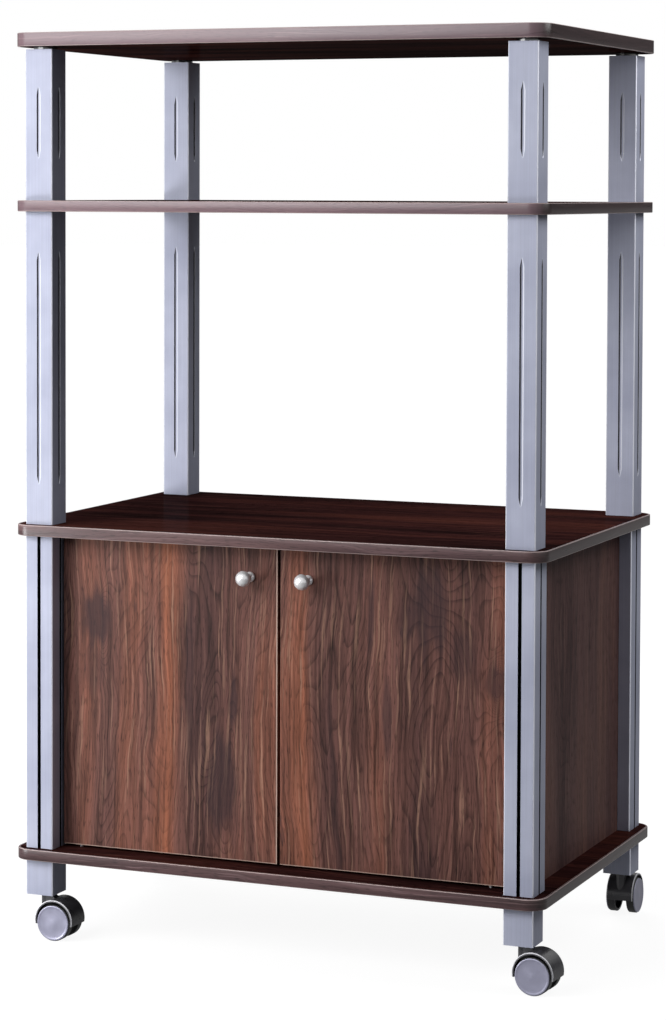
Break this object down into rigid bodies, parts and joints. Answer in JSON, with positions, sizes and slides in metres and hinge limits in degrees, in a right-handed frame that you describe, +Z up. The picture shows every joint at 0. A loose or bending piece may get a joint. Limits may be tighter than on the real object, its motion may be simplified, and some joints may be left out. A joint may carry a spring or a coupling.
{
  "type": "microwave cart",
  "caption": "Rolling microwave cart with open shelves on silver columns above a two-door walnut cabinet, standing on twin-wheel swivel casters.",
  "frame": {"origin": "on the floor under the middle of the whole cart as it stands, from the front edges of the boards to the back of the rear right caster, which is 6.9 mm behind the middle of the boards", "axes": "+Z up, -Y towards the side that the doors face, +X to the right as seen from the front"},
  "size_m": [0.6395, 0.4138, 1],
  "materials": {
    "walnut_laminate": "satin dark walnut laminate",
    "door_laminate": "satin dark walnut laminate, grain upright",
    "panel_laminate": "satin dark walnut laminate, grain upright",
    "silver_paint": "satin silver paint",
    "silver_profile": "satin anodised",
    "satin_metal": "satin",
    "zinc_steel": "zinc plated",
    "magnet_steel": "dull",
    "black_plastic": "matt",
    "hood_plastic": "semi-gloss",
    "wheel_plastic": "semi-gloss, its raised cap silver"
  },
  "bodies": {
    "frame": {"top_board": "walnut_laminate", "second_shelf": "walnut_laminate", "cabinet_top": "walnut_laminate", "bottom_board": "walnut_laminate", "upper_post_front_left": "silver_paint", "upper_post_front_right": "silver_paint", "upper_post_rear_left": "silver_paint", "upper_post_rear_right": "silver_paint", "middle_post_front_left": "silver_paint", "middle_post_front_right": "silver_paint", "middle_post_rear_left": "silver_paint", "middle_post_rear_right": "silver_paint", "cabinet_post_front_left": "silver_profile", "cabinet_post_front_right": "silver_profile", "cabinet_post_rear_left": "silver_profile", "cabinet_post_rear_right": "silver_profile", "foot_tube_front_left": "silver_paint", "foot_tube_front_right": "silver_paint", "foot_tube_rear_left": "silver_paint", "foot_tube_rear_right": "silver_paint", "top_end_plugs": "black_plastic", "tube_end_plugs": "black_plastic", "foot_plugs": "black_plastic", "threaded_studs": "zinc_steel", "insert_nuts": "zinc_steel", "caster_stems": "zinc_steel", "left_side_panel": "panel_laminate", "right_side_panel": "panel_laminate", "back_panel": "panel_laminate", "door_pivot_pins": "zinc_steel", "catch_housing": "black_plastic", "catch_magnets": "magnet_steel", "catch_screw": "zinc_steel"},
    "left_door_leaf": {"left_door": "door_laminate", "left_knob": "satin_metal", "left_knob_screw": "zinc_steel", "left_strike_plate": "zinc_steel", "left_door_bushes": "black_plastic"},
    "right_door_leaf": {"right_door": "door_laminate", "right_knob": "satin_metal", "right_knob_screw": "zinc_steel", "right_strike_plate": "zinc_steel", "right_door_bushes": "black_plastic"},
    "caster_front_left": {"caster_hood_front_left": "hood_plastic", "caster_axle_front_left": "zinc_steel"},
    "wheel_front_left_a": {"caster_wheel_front_left_a": "wheel_plastic"},
    "wheel_front_left_b": {"caster_wheel_front_left_b": "wheel_plastic"},
    "caster_front_right": {"caster_hood_front_right": "hood_plastic", "caster_axle_front_right": "zinc_steel"},
    "wheel_front_right_a": {"caster_wheel_front_right_a": "wheel_plastic"},
    "wheel_front_right_b": {"caster_wheel_front_right_b": "wheel_plastic"},
    "caster_rear_left": {"caster_hood_rear_left": "hood_plastic", "caster_axle_rear_left": "zinc_steel"},
    "wheel_rear_left_a": {"caster_wheel_rear_left_a": "wheel_plastic"},
    "wheel_rear_left_b": {"caster_wheel_rear_left_b": "wheel_plastic"},
    "caster_rear_right": {"caster_hood_rear_right": "hood_plastic", "caster_axle_rear_right": "zinc_steel"},
    "wheel_rear_right_a": {"caster_wheel_rear_right_a": "wheel_plastic"},
    "wheel_rear_right_b": {"caster_wheel_rear_right_b": "wheel_plastic"}
  },
  "joints": [
    {"name": "left_door_hinge", "type": "hinge", "parent": "frame", "child": "left_door_leaf", "pos_m": [-0.24, -0.1699, 0.2755], "axis": [0, 0, -1], "range_deg": [0, 115]},
    {"name": "right_door_hinge", "type": "hinge", "parent": "frame", "child": "right_door_leaf", "pos_m": [0.24, -0.1699, 0.2755], "axis": [0, 0, 1], "range_deg": [0, 115]},
    {"name": "caster_front_left_swivel", "type": "hinge", "parent": "frame", "child": "caster_front_left", "pos_m": [-0.279, -0.1804, 0.0485], "axis": [0, 0, 1], "continuous": true},
    {"name": "wheel_front_left_a_spin", "type": "hinge", "parent": "caster_front_left", "child": "wheel_front_left_a", "pos_m": [-0.26181, -0.16945, 0.02], "axis": [0.0175, 0.9998, 0], "continuous": true},
    {"name": "wheel_front_left_b_spin", "type": "hinge", "parent": "caster_front_left", "child": "wheel_front_left_b", "pos_m": [-0.2622, -0.19195, 0.02], "axis": [0.0175, 0.9998, 0], "continuous": true},
    {"name": "caster_front_right_swivel", "type": "hinge", "parent": "frame", "child": "caster_front_right", "pos_m": [0.279, -0.1804, 0.0485], "axis": [0, 0, 1], "continuous": true},
    {"name": "wheel_front_right_a_spin", "type": "hinge", "parent": "caster_front_right", "child": "wheel_front_right_a", "pos_m": [0.29674, -0.17036, 0.02], "axis": [0.0698, 0.9976, 0], "continuous": true},
    {"name": "wheel_front_right_b_spin", "type": "hinge", "parent": "caster_front_right", "child": "wheel_front_right_b", "pos_m": [0.29517, -0.19281, 0.02], "axis": [0.0698, 0.9976, 0], "continuous": true},
    {"name": "caster_rear_left_swivel", "type": "hinge", "parent": "frame", "child": "caster_rear_left", "pos_m": [-0.279, 0.1666, 0.0485], "axis": [0, 0, 1], "continuous": true},
    {"name": "wheel_rear_left_a_spin", "type": "hinge", "parent": "caster_rear_left", "child": "wheel_rear_left_a", "pos_m": [-0.296, 0.15535, 0.02], "axis": [0, -1, 0], "continuous": true},
    {"name": "wheel_rear_left_b_spin", "type": "hinge", "parent": "caster_rear_left", "child": "wheel_rear_left_b", "pos_m": [-0.296, 0.17785, 0.02], "axis": [0, -1, 0], "continuous": true},
    {"name": "caster_rear_right_swivel", "type": "hinge", "parent": "frame", "child": "caster_rear_right", "pos_m": [0.279, 0.1666, 0.0485], "axis": [0, 0, 1], "continuous": true},
    {"name": "wheel_rear_right_a_spin", "type": "hinge", "parent": "caster_rear_right", "child": "wheel_rear_right_a", "pos_m": [0.26775, 0.1836, 0.02], "axis": [-1, 0, 0], "continuous": true},
    {"name": "wheel_rear_right_b_spin", "type": "hinge", "parent": "caster_rear_right", "child": "wheel_rear_right_b", "pos_m": [0.29025, 0.1836, 0.02], "axis": [-1, 0, 0], "continuous": true}
  ]
}
